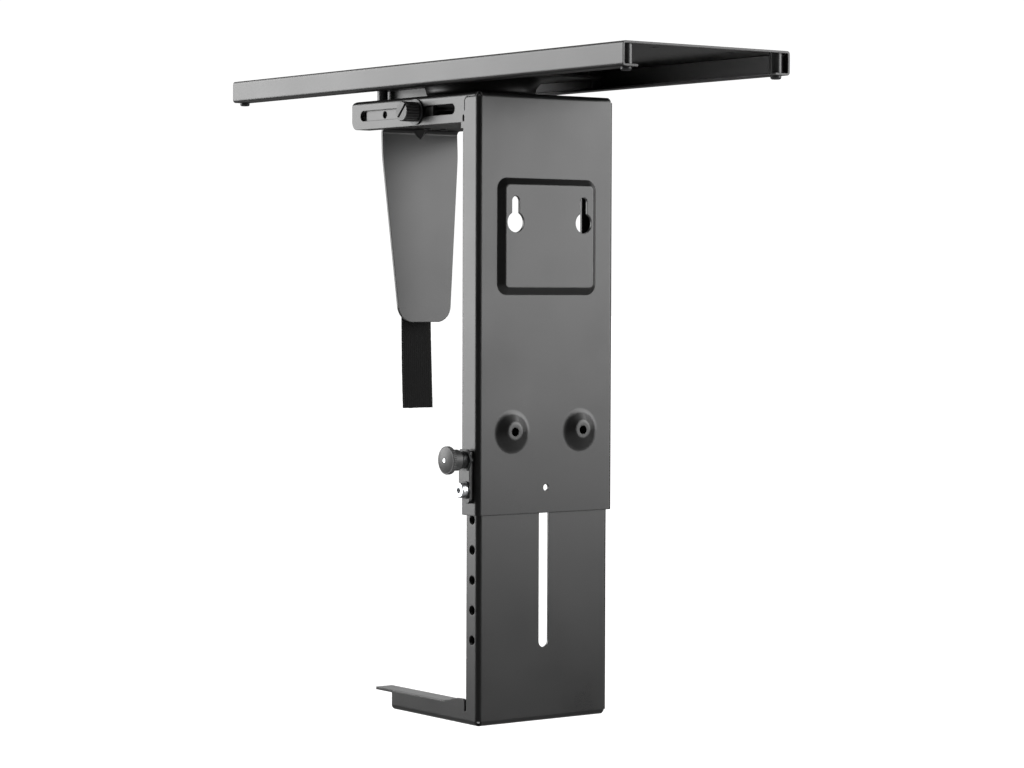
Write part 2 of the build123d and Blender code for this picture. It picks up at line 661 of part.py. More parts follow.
def plunger_pin():
    """The pin, its spring collar and its stem, drawn clear of the lower bracket."""
    tip = -UPPER_SIDE + 0.6
    collar = -UPPER_SIDE - 5.3
    pin = rod_x(PIN_DIA / 2, (collar, tip), LOCK_HOLE_Y, PLUNGER_Z)
    pin = chamfer(pin.edges().group_by(Axis.X)[-1], 0.5)
    seat = rod_x(SPRING_COLLAR_DIA / 2, (collar - 0.9, collar), LOCK_HOLE_Y, PLUNGER_Z)
    end = KNOB_FRONT - KNOB_DOME - 0.15
    stem = rod_x(STEM_RADIUS, (end, collar), LOCK_HOLE_Y, PLUNGER_Z)
    stem = chamfer(stem.edges().group_by(Axis.X)[0], 0.25)
    centre = rod_x(0.5, (end - 1, end + 0.8), LOCK_HOLE_Y, PLUNGER_Z)
    return pin + seat + stem - centre


def plunger_knob():
    """The pull knob: a skirt over the barrel and a domed, finely ribbed disc."""
    inner_face = KNOB_FRONT + KNOB_THICKNESS
    skirt_end = BLOCK_FACE - 6.9
    skirt = rod_x(KNOB_SKIRT_DIA / 2, (inner_face, skirt_end), LOCK_HOLE_Y, PLUNGER_Z)
    skirt -= rod_x(BARREL_DIA / 2 + 0.35, (inner_face, skirt_end), LOCK_HOLE_Y, PLUNGER_Z)
    disc = rod_x(KNOB_DIA / 2, (KNOB_FRONT, inner_face), LOCK_HOLE_Y, PLUNGER_Z)
    disc = fillet(disc.edges(), 0.6)
    ribs = 36
    for index in range(ribs):
        angle = 2 * math.pi * index / ribs
        y = LOCK_HOLE_Y + math.cos(angle) * (KNOB_DIA / 2 + 0.15)
        z = PLUNGER_Z + math.sin(angle) * (KNOB_DIA / 2 + 0.15)
        disc -= rod_x(0.45, (KNOB_FRONT - 1, inner_face + 1), y, z)
    base = KNOB_DIA / 2 - 1.0
    ball = (base * base + KNOB_DOME * KNOB_DOME) / (2 * KNOB_DOME)
    dome = Pos(KNOB_FRONT - KNOB_DOME + ball, LOCK_HOLE_Y, PLUNGER_Z) * Sphere(ball)
    dome &= rod_x(base, (KNOB_FRONT - KNOB_DOME - 1, KNOB_FRONT + 0.5), LOCK_HOLE_Y, PLUNGER_Z)
    bore = rod_x(STEM_RADIUS, (KNOB_FRONT - 5, inner_face + 1), LOCK_HOLE_Y, PLUNGER_Z)
    return skirt + disc + dome - bore


def plunger_spring():
    """A short compression spring, squeezed while the pin is drawn."""
    wire = 0.25
    low = BLOCK_FACE - 6.0
    length = 2.6
    helix = Helix(pitch=0.85, height=length, radius=3.2)
    start = Plane(origin=helix @ 0, z_dir=helix % 0)
    coil = sweep(start * Circle(wire), path=helix, is_frenet=True)
    return Pos(low, LOCK_HOLE_Y, PLUNGER_Z) * Rot(0, 90, 0) * coil


def lock_screw():
    """A socket-head screw that ends just short of the sliding bracket."""
    face = BLOCK_FACE - LOCK_WASHER_THICKNESS - SPRING_WASHER_THICKNESS - 0.2
    head = rod_x(LOCK_HEAD_DIA / 2, (face - LOCK_HEAD_HEIGHT, face), LOCK_HOLE_Y, LOCK_SCREW_Z)
    head = fillet(head.edges().group_by(Axis.X)[0], 0.7)
    shank = rod_x(LOCK_SCREW_DIA / 2, (face, -UPPER_INNER - 0.2), LOCK_HOLE_Y, LOCK_SCREW_Z)
    start = x_plane(face - LOCK_HEAD_HEIGHT, LOCK_HOLE_Y, LOCK_SCREW_Z)
    return head + shank - hexagon(LOCK_SOCKET_ACROSS, LOCK_SOCKET_DEPTH, start)


def lock_washer():
    """The flat black washer on the block."""
    x = (BLOCK_FACE - LOCK_WASHER_THICKNESS, BLOCK_FACE)
    ring = rod_x(LOCK_WASHER_DIA / 2, x, LOCK_HOLE_Y, LOCK_SCREW_Z)
    return ring - rod_x(LOCK_SCREW_DIA / 2 + RUNNING, x, LOCK_HOLE_Y, LOCK_SCREW_Z)


def lock_spring_washer():
    """The split washer under the lock screw's head."""
    inner_face = BLOCK_FACE - LOCK_WASHER_THICKNESS
    x = (inner_face - SPRING_WASHER_THICKNESS, inner_face)
    ring = rod_x(LOCK_HEAD_DIA / 2 - 0.1, x, LOCK_HOLE_Y, LOCK_SCREW_Z)
    ring -= rod_x(LOCK_SCREW_DIA / 2 + RUNNING, x, LOCK_HOLE_Y, LOCK_SCREW_Z)
    across = (LOCK_HOLE_Y - SPLIT_GAP / 2, LOCK_HOLE_Y + SPLIT_GAP / 2)
    return ring - box(x, across, (LOCK_SCREW_Z, LOCK_SCREW_Z + LOCK_HEAD_DIA))


# ---------------------------------------------------------------- clamp
def clamp_bracket():
    """A web over the arm's lips, side flanges behind the slots, and the tongue."""
    mid = SHEET / 2
    web = ARM_BOTTOM + SHEET + CLAMP_CLEARANCE + mid
    side = -UPPER_INNER + CLAMP_CLEARANCE + mid
    edge = side - mid + BEND
    y = (CLAMP_START, CLAMP_FLANGE_END)

    flat = box((edge, -edge), y, (web - mid, web + mid))
    flange = [(edge + 1, web), (side, web), (side, CLAMP_FLANGE_TOP)]
    flange = along_y(band(flange, SHEET, MID_BEND), y)
    shape = flat + both_sides(flange)

    half_top = TONGUE_TOP_WIDTH / 2
    y_top = TONGUE_Y - mid
    y_low = y_top - TONGUE_LEAN
    profile = [(CLAMP_FLANGE_END - 1, web), (y_top, web), (y_low, TONGUE_BOTTOM)]
    strip = along_x(band(profile, SHEET, 4.0), (-half_top, half_top))
    return shape + (strip & tongue_outline())


def tongue_outline():
    """The tongue's tapered outline seen along Y, as a tall cutter."""
    half_top = TONGUE_TOP_WIDTH / 2
    half_low = TONGUE_BOTTOM_WIDTH / 2
    outline = Polyline(
        (-half_top, 0),
        (-half_top, TONGUE_SHOULDER),
        (-half_low, TONGUE_BOTTOM),
        (half_low, TONGUE_BOTTOM),
        (half_top, TONGUE_SHOULDER),
        (half_top, 0),
        close=True,
    )
    face = make_face(outline)
    face = fillet(face.vertices().group_by(Axis.Y)[0], TONGUE_CORNER)
    face = fillet(face.vertices().filter_by(is_shoulder), 100)
    return along_y(face, (CLAMP_START, ARM_END + 10))


def is_shoulder(vertex):
    return abs(vertex.Y - TONGUE_SHOULDER) < 0.01


def clamp_gusset():
    """A small pressed V across the middle of the tongue's bend."""
    web = ARM_BOTTOM + CLAMP_CLEARANCE + SHEET + 0.5
    y = TONGUE_Y - SHEET + 0.5
    plane = Plane(origin=(0, y, web), x_dir=(1, 0, 0), z_dir=(0, -1, 0))
    half = GUSSET_WIDTH / 2
    base = make_face(Polyline((-half, 0), (half, 0), (0, -GUSSET_DEPTH), close=True))
    return loft([(plane * base).face(), Vertex(0, y - GUSSET_DEPTH, web)])


def clamp_with_holes():
    shape = clamp_bracket() + clamp_gusset()
    reach = (-UPPER_SIDE, UPPER_SIDE)
    shape -= rod_x(THUMB_DIA / 2 + RUNNING, reach, THUMB_Y, ARM_SLOT_Z)
    shape -= rod_x(THUMB_DIA / 2, reach, CLAMP_SPARE_HOLE_Y, ARM_SLOT_Z)
    web = ARM_BOTTOM + SHEET + CLAMP_CLEARANCE
    for x in strap_rivet_x():
        y = STRAP_START + RIVET_FROM_END
        shape -= rod_z(RIVET_SHANK_RADIUS + RUNNING, x, y, (web - 1, web + SHEET + 1))
    return shape


def thumb_screw(side):
    """A knurled screw with a slotted face. side is -1 for left, 1 for right."""
    seat = UPPER_SIDE + 2 * CLAMP_CLEARANCE + THUMB_WASHER_THICKNESS
    outer = seat + THUMB_HEAD_LENGTH
    inner = UPPER_INNER - CLAMP_CLEARANCE - SHEET - 6.5
    head = rod_x(THUMB_HEAD_DIA / 2, (seat, outer), THUMB_Y, ARM_SLOT_Z)
    head = chamfer(head.edges(), 0.6)
    ridges = 20
    for index in range(ridges):
        angle = 2 * math.pi * (index + 0.5) / ridges
        y = THUMB_Y + math.cos(angle) * (THUMB_HEAD_DIA / 2 + 0.2)
        z = ARM_SLOT_Z + math.sin(angle) * (THUMB_HEAD_DIA / 2 + 0.2)
        head -= rod_x(0.8, (seat - 1, outer + 1), y, z)
    slot = Pos(outer - 0.7, THUMB_Y, ARM_SLOT_Z) * Rot(45, 0, 0) * Box(2.0, THUMB_SLOT, 20)
    shank = rod_x(THUMB_DIA / 2, (inner, seat), THUMB_Y, ARM_SLOT_Z)
    screw = head + shank - slot
    return screw if side > 0 else mirror(screw, about=Plane.YZ)


def thumb_washer(side):
    x = (UPPER_SIDE + CLAMP_CLEARANCE, UPPER_SIDE + CLAMP_CLEARANCE + THUMB_WASHER_THICKNESS)
    ring = rod_x(THUMB_WASHER_DIA / 2, x, THUMB_Y, ARM_SLOT_Z)
    ring -= rod_x(THUMB_DIA / 2 + RUNNING, x, THUMB_Y, ARM_SLOT_Z)
    return ring if side > 0 else mirror(ring, about=Plane.YZ)


def thumb_nut(side):
    face = UPPER_INNER - CLAMP_CLEARANCE - SHEET
    start = x_plane(face - THUMB_NUT_HEIGHT, THUMB_Y, ARM_SLOT_Z)
    nut = hexagon(THUMB_NUT_ACROSS, THUMB_NUT_HEIGHT, start)
    nut -= rod_x(THUMB_DIA / 2 + RUNNING, (face - 6, face + 1), THUMB_Y, ARM_SLOT_Z)
    return nut if side > 0 else mirror(nut, about=Plane.YZ)


# ---------------------------------------------------------------- strap
def strap_rivet_x():
    return [-7.0, 7.0]


def strap():
    """The strap's plain solid: flat on the web, over the bend, then straight down."""
    half = STRAP_WIDTH / 2
    top = ARM_BOTTOM + 2 * SHEET + CLAMP_CLEARANCE + STRAP_THICKNESS / 2
    y = TONGUE_Y + STRAP_THICKNESS / 2 + STRAP_CLEARANCE
    line = [(STRAP_START, top), (y, top), (y, STRAP_BOTTOM)]
    shape = along_x(band(line, STRAP_THICKNESS, 5.5), (-half, half))
    for x in strap_rivet_x():
        shape -= rod_z(RIVET_SHANK_RADIUS + RUNNING, x, STRAP_START + RIVET_FROM_END, (top - 2, top + 2))
    return shape


def strap_rivets():
    shapes = []
    low = ARM_BOTTOM + SHEET + CLAMP_CLEARANCE
    high = low + SHEET + STRAP_THICKNESS
    for x in strap_rivet_x():
        y = STRAP_START + RIVET_FROM_END
        head = rod_z(RIVET_HEAD_RADIUS, x, y, (high, high + RIVET_HEAD))
        head = fillet(head.edges().group_by(Axis.Z)[-1], RIVET_HEAD * 0.7)
        foot = rod_z(2.8, x, y, (low - 0.8, low))
        shapes.append(head + foot + rod_z(RIVET_SHANK_RADIUS, x, y, (low, high)))
    return Compound(children=shapes)


def main():
    os.makedirs("parts", exist_ok=True)
    save(track(), "track")
    save(end_stop_screws(), "end_stop_screws")
    save(end_stop_sleeves(), "end_stop_sleeves")
    save(carriage_plate(), "carriage_plate")
    save(carriage_glides(), "carriage_glides")
    save(swivel_washer(), "swivel_washer")
    save(swivel_bolt(), "swivel_bolt")
    save(swivel_bolt_washer(), "swivel_bolt_washer")
    save(swivel_nut(), "swivel_nut")
    save(upper_bracket(), "upper_bracket")
    save(lower_bracket(), "lower_bracket")
    save(latch_block(), "latch_block")
    save(plunger_housing(), "plunger_housing")
    save(plunger_nut(), "plunger_nut")
    save(plunger_pin(), "plunger_pin")
    save(plunger_knob(), "plunger_knob")
    save(plunger_spring(), "plunger_spring")
    save(lock_screw(), "lock_screw")
    save(lock_washer(), "lock_washer")
    save(lock_spring_washer(), "lock_spring_washer")
    save(clamp_with_holes(), "clamp_bracket")
    for side, name in ((-1, "left"), (1, "right")):
        save(thumb_screw(side), f"thumb_screw_{name}")
        save(thumb_washer(side), f"thumb_washer_{name}")
        save(thumb_nut(side), f"thumb_nut_{name}")
    save(strap(), "strap")
    save(strap_rivets(), "strap_rivets")


main()
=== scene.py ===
"""Looks for the under-desk computer holder: powder-coated brackets, the latch, screws
and the hanging strap, in a plain white studio. Lengths are in metres."""

import json
import math

import bpy
from mathutils import Matrix, Vector, noise


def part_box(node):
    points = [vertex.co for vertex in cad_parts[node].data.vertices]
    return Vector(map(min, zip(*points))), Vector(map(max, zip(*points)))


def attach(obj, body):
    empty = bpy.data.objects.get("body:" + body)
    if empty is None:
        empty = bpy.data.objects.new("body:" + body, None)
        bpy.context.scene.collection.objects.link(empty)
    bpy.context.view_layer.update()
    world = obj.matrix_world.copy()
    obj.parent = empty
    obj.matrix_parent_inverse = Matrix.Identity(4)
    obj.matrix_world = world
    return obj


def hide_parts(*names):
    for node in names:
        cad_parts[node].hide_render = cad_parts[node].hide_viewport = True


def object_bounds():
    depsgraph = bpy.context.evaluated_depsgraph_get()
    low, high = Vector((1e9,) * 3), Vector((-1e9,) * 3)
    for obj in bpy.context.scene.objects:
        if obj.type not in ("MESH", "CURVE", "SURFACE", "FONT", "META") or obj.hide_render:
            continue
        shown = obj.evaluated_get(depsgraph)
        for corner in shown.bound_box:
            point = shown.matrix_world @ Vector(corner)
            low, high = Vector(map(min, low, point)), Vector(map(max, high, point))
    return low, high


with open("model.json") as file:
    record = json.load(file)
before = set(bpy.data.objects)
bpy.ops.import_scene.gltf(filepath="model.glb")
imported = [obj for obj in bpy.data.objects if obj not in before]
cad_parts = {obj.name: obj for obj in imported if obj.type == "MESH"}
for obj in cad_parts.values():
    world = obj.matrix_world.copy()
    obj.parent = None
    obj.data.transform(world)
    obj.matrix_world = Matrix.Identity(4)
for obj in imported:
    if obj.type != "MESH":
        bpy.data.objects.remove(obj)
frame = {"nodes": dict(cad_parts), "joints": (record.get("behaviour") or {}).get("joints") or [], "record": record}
CAD_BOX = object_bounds()
NODES = frame["nodes"]
SLOT_OF = {part["node"]: part["material_slot"] for part in frame["record"]["subparts"]}
MM = 0.001

# ---------------------------------------------------------------- camera
CAMERA_AT = (-1.1702, -1.6197, -0.1510)
CAMERA_YAW = 36.277          # degrees from +Y towards +X
CAMERA_DOWN = 1.8785         # degrees below the horizon
CAMERA_ROLL = 0.185
CAMERA_LENS = 102.36         # mm, on a 36 mm sensor
CAMERA_CLIP = 100

# ---------------------------------------------------------------- studio
FLOOR_CLEARANCE = 0.010      # under the foot at its lowest setting
HEIGHT_DROP = -min(j["range_m"][0] for j in frame["joints"] if j["name"] == "height_slide")
FLOOR_REACH = 30.0           # half the floor's width
FLOOR_TONE = 0.82
PAPER_WHITE = 1.05           # radiance of the background, as the camera sees it
ROOM_LIGHT = 1.05            # radiance of the pale wall behind the object, as reflected
SIDE_LIGHT = 0.03            # share of it left on the camera's side
CEILING_LIGHT = 0.40         # the part of the ceiling beyond the object
CEILING_SHARE = 0.12         # share of it left on the camera's side
ZENITH_LIGHT = 0.25          # added straight overhead
FLOOR_LIGHT = 0.30
HIGH_WALL = 0.12             # share of the wall's light left at its top
# Where each light begins and ends: over the height of the direction, from -1 down to 1 up,
# or over how far it faces the camera, from -1 away to 1 towards.
WALL_FOOT = (0.0, 0.14)
WALL_TOP = (0.25, 0.6)
WALL_SIDE = (-0.65, 0.1)
CEILING_EDGE = (0.45, 0.8)
CEILING_SIDE = (-0.6, -0.2)
ZENITH_EDGE = (0.85, 0.97)
GROUND_EDGE = (-0.35, -0.12)
FLOOR_GLOW = (0.35, 1.0)     # the paper's own light, near the object and far off
FLOOR_GLOW_FROM = (0.7, 2.5)  # metres from the origin

# (name, direction as yaw from +Y towards +X, height of its centre, distance, width, height,
# radiance); the one with no direction hangs over the object, at that height above its centre
SOFTBOXES = [
    ("left_softbox", -38.0, 0.42, 2.2, 1.9, 1.9, 5.9),
    ("front_softbox", 134.0, 0.44, 2.2, 1.8, 1.7, 5.9),
    ("top_softbox", None, 2.2, 0.0, 1.6, 1.6, 2.0),
]


# ---------------------------------------------------------------- shader helpers
class Shader:
    """A material's node tree with short calls for its nodes and links."""

    def __init__(self, name):
        self.material = bpy.data.materials.new(name)
        self.material.use_nodes = True
        self.tree = self.material.node_tree
        self.tree.nodes.clear()
        self.coords = self.node("ShaderNodeTexCoord").outputs["Object"]
        self.surface = self.node("ShaderNodeBsdfPrincipled")
        output = self.node("ShaderNodeOutputMaterial")
        self.tree.links.new(self.surface.outputs[0], output.inputs["Surface"])

    def node(self, kind, inputs=None, **settings):
        made = self.tree.nodes.new(kind)
        for key, value in settings.items():
            setattr(made, key, value)
        for key, value in (inputs or {}).items():
            self.put(made.inputs[key], value)
        return made

    def put(self, socket, value):
        """Link a socket to another, or set its value."""
        if isinstance(value, bpy.types.NodeSocket):
            self.tree.links.new(value, socket)
        else:
            socket.default_value = value

    def set(self, **values):
        """Inputs of the surface, with _ for each space in a name."""
        for key, value in values.items():
            self.put(self.surface.inputs[key.replace("_", " ")], value)

    def noise(self, size, detail=2.0, stretch=(1, 1, 1)):
        """Noise whose features are about size metres across, longer along stretched axes."""
        scale = tuple(1 / (size * s) for s in stretch)
        place = self.node("ShaderNodeMapping", {"Vector": self.coords, "Scale": scale})
        made = self.node("ShaderNodeTexNoise",
                         {"Vector": place.outputs[0], "Scale": 1.0, "Detail": detail})
        return made.outputs["Fac"]

    def remap(self, value, low, high, to_low, to_high, smooth=False):
        kind = "SMOOTHSTEP" if smooth else "LINEAR"
        made = self.node("ShaderNodeMapRange", {0: value, 1: low, 2: high, 3: to_low, 4: to_high},
                         interpolation_type=kind)
        return made.outputs[0]

    def math(self, operation, a, b=0.0):
        return self.node("ShaderNodeMath", {0: a, 1: b}, operation=operation).outputs[0]

    def mix(self, factor, a, b):
        """A mix of two colours."""
        made = self.node("ShaderNodeMix", {0: factor}, data_type="RGBA")
        self.put(made.inputs[6], a)
        self.put(made.inputs[7], b)
        return made.outputs[2]

    def bump(self, height, distance, strength=1.0, normal=None):
        made = self.node("ShaderNodeBump",
                         {"Height": height, "Distance": distance, "Strength": strength})
        if normal is not None:
            self.put(made.inputs["Normal"], normal)
        return made.outputs[0]

    def soft_edges(self, radius):
        """The normal of a surface whose sharp edges are rounded by radius, and an edge mask."""
        rounded = self.node("ShaderNodeBevel", {"Radius": radius}, samples=4).outputs[0]
        flat = self.node("ShaderNodeNewGeometry").outputs["Normal"]
        dot = self.node("ShaderNodeVectorMath", {0: rounded, 1: flat}, operation="DOT_PRODUCT")
        return rounded, self.remap(dot.outputs["Value"], 0.99, 0.80, 0.0, 1.0)


def grey(value, warmth=0.0):
    """A grey, a little red if warmth is above 0 and a little blue if it is below."""
    return (value * (1 + warmth), value, value * (1 - warmth), 1.0)


# ---------------------------------------------------------------- materials
def powder_coat(name, gloss=0.5):
    """Black satin powder coat: a fine orange peel, faint clouding and rubbed edges."""
    s = Shader(name)
    rounded, edge = s.soft_edges(0.8 * MM)
    clouds = s.noise(60 * MM, 3.0)
    peel = s.noise(0.9 * MM, 2.0)
    grain = s.noise(0.28 * MM, 1.0)
    specks = s.remap(s.noise(1.1 * MM, 0.0), 0.78, 0.84, 0.0, 0.35)
    rubbed = s.math("MULTIPLY", edge, s.remap(s.noise(7 * MM, 3.0), 0.35, 0.7, 0.0, 0.25))
    paint = s.mix(clouds, grey(0.0045), grey(0.0082, 0.02))
    paint = s.mix(specks, paint, grey(0.02))
    s.set(Base_Color=s.mix(rubbed, paint, grey(0.035)))
    rough = s.remap(clouds, 0.3, 0.7, 0.30, 0.36)
    rough = s.math("ADD", rough, s.remap(grain, 0.3, 0.7, -0.03, 0.03))
    rough = s.math("ADD", rough, s.math("MULTIPLY", edge, 0.15))
    s.set(Roughness=rough, Specular_IOR_Level=s.remap(edge, 0.0, 1.0, gloss, gloss * 0.35))
    height = s.math("ADD", s.math("MULTIPLY", peel, 0.7), s.math("MULTIPLY", grain, 0.3))
    s.set(Normal=s.bump(height, 0.010 * MM, 0.55, rounded))
    return s.material


def black_steel(name):
    """Blackened steel: fine tool marks and edges rubbed through to grey."""
    s = Shader(name)
    rounded, edge = s.soft_edges(0.25 * MM)
    marks = s.noise(0.35 * MM, 2.0, (1, 9, 1))
    stains = s.noise(5 * MM, 3.0)
    bare = s.math("MULTIPLY", edge, s.remap(stains, 0.35, 0.65, 0.15, 0.8))
    s.set(Base_Color=s.mix(bare, s.mix(stains, grey(0.018), grey(0.034, -0.03)), grey(0.20)))
    s.set(Metallic=0.55, Roughness=s.remap(marks, 0.3, 0.7, 0.30, 0.44))
    s.set(Normal=s.bump(marks, 0.008 * MM, 0.5, rounded))
    return s.material


def moulded_plastic(name, tone, rough, pit_size):
    """Black moulded plastic with a spark-eroded grain and a painted highlight along its edges."""
    s = Shader(name)
    rounded, edge = s.soft_edges(0.2 * MM)
    pits = s.noise(pit_size, 2.0)
    patches = s.noise(9 * MM, 2.0)
    base = s.mix(patches, grey(tone * 0.8), grey(tone * 1.25))
    # painted highlight: the base colour is lighter along the edges, as if they caught the light
    painted_edge_highlight = s.math("MULTIPLY", edge, 0.5)
    s.set(Base_Color=s.mix(painted_edge_highlight, base, grey(tone * 2.5)))
    s.set(Roughness=s.remap(pits, 0.3, 0.7, rough - 0.05, rough + 0.07))
    s.set(Normal=s.bump(pits, 0.02 * MM, 0.6, rounded))
    return s.material


def rubber(name):
    """Dark sleeve rubber with a faint bloom."""
    s = Shader(name)
    bloom = s.noise(2.5 * MM, 3.0)
    skin = s.noise(0.25 * MM, 1.0)
    s.set(Base_Color=s.mix(bloom, grey(0.010), grey(0.014)))
    s.set(Roughness=s.remap(bloom, 0.3, 0.7, 0.28, 0.34), Normal=s.bump(skin, 0.01 * MM, 0.5))
    return s.material


def zinc_plate(name):
    """Bright zinc plate on turned steel: fine rings, spangle, a cool tint and a painted highlight along the edges.
    """
    s = Shader(name)
    rounded, edge = s.soft_edges(0.2 * MM)
    spangle = s.noise(1.6 * MM, 2.0)
    turned = s.noise(0.12 * MM, 1.0, (12, 1, 1))
    tint = s.mix(spangle, (0.72, 0.75, 0.79, 1), (0.85, 0.85, 0.84, 1))
    # painted highlight: the edges' colour is lifted to a near-white grey, as if they caught the light
    s.set(Base_Color=s.mix(edge, tint, grey(0.92)), Metallic=1.0)
    s.set(Roughness=s.remap(turned, 0.3, 0.7, 0.28, 0.42))
    s.set(Normal=s.bump(turned, 0.004 * MM, 0.5, rounded))
    return s.material


STRAP_PITCH = 1.7 * MM      # between the rows of the strap's loops


def loop_tape(name):
    """Black loop tape: rows of small loops with painted shade in the hollows between them, a woven edge and loose
    fibres.
    """
    s = Shader(name)
    uv = s.node("ShaderNodeTexCoord").outputs["UV"]
    parts = s.node("ShaderNodeSeparateXYZ", {0: uv})
    across, down = parts.outputs[0], parts.outputs[1]
    wobble = s.remap(s.noise(1.3 * MM, 2.0), 0.0, 1.0, -0.5, 0.5)
    turns = 2 * math.pi / STRAP_PITCH

    def rows(value, phase):
        angle = s.math("ADD", s.math("MULTIPLY", value, turns), phase)
        return s.math("SINE", angle)

    weft = rows(down, wobble)
    warp = rows(across, s.math("MULTIPLY", weft, 1.2))
    loops = s.math("MULTIPLY", weft, warp)
    fibres = s.noise(0.22 * MM, 3.0)
    height = s.math("ADD", s.remap(loops, -1, 1, 0, 0.6), s.math("MULTIPLY", fibres, 0.5))
    edge = s.remap(s.math("ABSOLUTE", across), STRAP_HALF - 1.6 * MM, STRAP_HALF - 1.0 * MM, 0, 1)
    # painted shade: the colour darkens where the surface is lower, in the hollows between the loops; the fibre
    # noise also varies the tone at random
    tone = s.mix(height, grey(0.0010), grey(0.012, 0.01))
    stitch = s.remap(weft, -0.2, 0.6, 0.0, 1.0, True)
    s.set(Base_Color=s.mix(s.math("MULTIPLY", edge, stitch), tone, grey(0.045)))
    s.set(Roughness=s.remap(fibres, 0.3, 0.7, 0.75, 0.95), Specular_IOR_Level=0.15)
    s.set(Sheen_Weight=0.02, Sheen_Roughness=0.5)
    s.set(Normal=s.bump(height, 0.32 * MM, 0.9))
    return s.material


# ---------------------------------------------------------------- strap
STRAP_LOW, STRAP_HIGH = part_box("strap")
STRAP_HALF = (STRAP_HIGH.x - STRAP_LOW.x) / 2
STRAP_THICK = 1.45 * MM
TOP_INSET = 0.1 * MM         # of the cloth inside the CAD strap's box
BACK_INSET = 0.35 * MM
BEND_RADIUS = 5.5 * MM
BEND_STEPS = 18
LINE_STEP = 0.5 * MM         # between rows of vertices
SWAY = 0.5                   # mm that the upper part hangs inwards, at its middle
SWAY_HALVES = 1.9            # the sway is over at 1 / this share of the drop
KICK = 2.4                   # mm that the free end swings inwards
KICK_FROM = 0.62             # share of the drop where the swing starts
KICK_POWER = 1.6
ACROSS = 48                  # faces across one side of the strap
TOP_SHARE = 0.955            # of the strap's half width, at its start
WIDENING = 0.035             # more of it at the free end
WAVER = (0.004, 23)          # share of the half width, and radians over the length
SQUARENESS = 14              # power that rounds the long edges
EDGE_SHARE = 0.25            # of the thickness left at the long edges
FUZZ = (900, 0.10 * MM)      # features per metre, and height
RAGGED = (300, 0.12 * MM)
FREE_END = (260, 0.5 * MM)
CUP = 0.25 * MM              # curl of the edges, times the share of the length past halfway
RAGGED_FROM = 0.98           # share of the half width


def strap_line():
    """The strap's centre line as (y, z) points: flat on the web, over the bend, down."""
    top = STRAP_HIGH.z - STRAP_THICK / 2 - TOP_INSET
    back = STRAP_HIGH.y - STRAP_THICK / 2 - BACK_INSET
    start = STRAP_LOW.y
    drop = top - STRAP_LOW.z
    points = []
    flat = int((back - BEND_RADIUS - start) / LINE_STEP)
    for i in range(flat):
        points.append((start + (back - BEND_RADIUS - start) * i / flat, top))
    for i in range(BEND_STEPS):
        angle = math.pi / 2 * i / BEND_STEPS
        points.append((back - BEND_RADIUS + BEND_RADIUS * math.sin(angle),
                       top - BEND_RADIUS + BEND_RADIUS * math.cos(angle)))
    fall = int((drop - BEND_RADIUS) / LINE_STEP)
    for i in range(fall + 1):
        share = i / fall
        kick = max(0, share - KICK_FROM) ** KICK_POWER / (1 - KICK_FROM) ** KICK_POWER
        sway = -SWAY * math.sin(math.pi * min(share * SWAY_HALVES, 1.0)) - KICK * kick
        points.append((back + sway * MM, top - BEND_RADIUS - (drop - BEND_RADIUS) * share))
    return points


def strap_cloth():
    """A band of loop tape with rounded edges and a slightly uneven surface."""
    line = strap_line()
    verts, uvs, faces = [], [], []
    length = 0.0
    rows = len(line)
    for i, (y, z) in enumerate(line):
        before, after = line[max(i - 1, 0)], line[min(i + 1, rows - 1)]
        along = Vector((0, after[0] - before[0], after[1] - before[1])).normalized()
        out = Vector((1, 0, 0)).cross(along) * -1
        if i:
            length += math.dist(line[i], line[i - 1])
        share = i / (rows - 1)
        waver = WAVER[0] * math.sin(share * WAVER[1])
        half = STRAP_HALF * (TOP_SHARE + WIDENING * share ** 2 + waver)
        for side in (1, -1):
            for j in range(ACROSS + 1):
                t = side * (1 - 2 * j / ACROSS)
                x = t * half
                round_off = math.sqrt(max(0.0, 1 - abs(t) ** SQUARENESS))
                fuzz = noise.noise(Vector((x, length, side)) * FUZZ[0]) * FUZZ[1]
                cup = CUP * t * t * max(0.0, share - 0.5)
                thick = EDGE_SHARE + (1 - EDGE_SHARE) * round_off
                lift = side * (STRAP_THICK / 2 * thick + fuzz) + cup
                ragged = noise.noise(Vector((0, length, t * 3)) * RAGGED[0]) * RAGGED[1]
                place = Vector((x + ragged * (abs(t) > RAGGED_FROM), y, z)) + out * lift
                if i == rows - 1:
                    place.z += noise.noise(Vector((x * FREE_END[0], 7, 0))) * FREE_END[1]
                verts.append(place)
                uvs.append((x, length))
    ring = 2 * (ACROSS + 1)
    for i in range(rows - 1):
        for j in range(ring):
            k = (j + 1) % ring
            faces.append((i * ring + j, i * ring + k, (i + 1) * ring + k, (i + 1) * ring + j))
    for i in (0, rows - 1):
        for j in range(ACROSS):
            a, b = i * ring + j, i * ring + j + 1
            c, d = i * ring + ring - 2 - j, i * ring + ring - 1 - j
            faces.append((a, d, c, b) if i == 0 else (a, b, c, d))
    mesh = bpy.data.meshes.new("strap_cloth")
    mesh.from_pydata(verts, [], faces)
    layer = mesh.uv_layers.new(name="cloth")
    for loop in mesh.loops:
        layer.data[loop.index].uv = uvs[loop.vertex_index]
    mesh.shade_smooth()
    cloth = bpy.data.objects.new("strap_cloth", mesh)
    bpy.context.scene.collection.objects.link(cloth)
    cloth.data.materials.append(loop_tape("loop_tape"))
    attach(cloth, "clamp")
    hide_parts("strap")


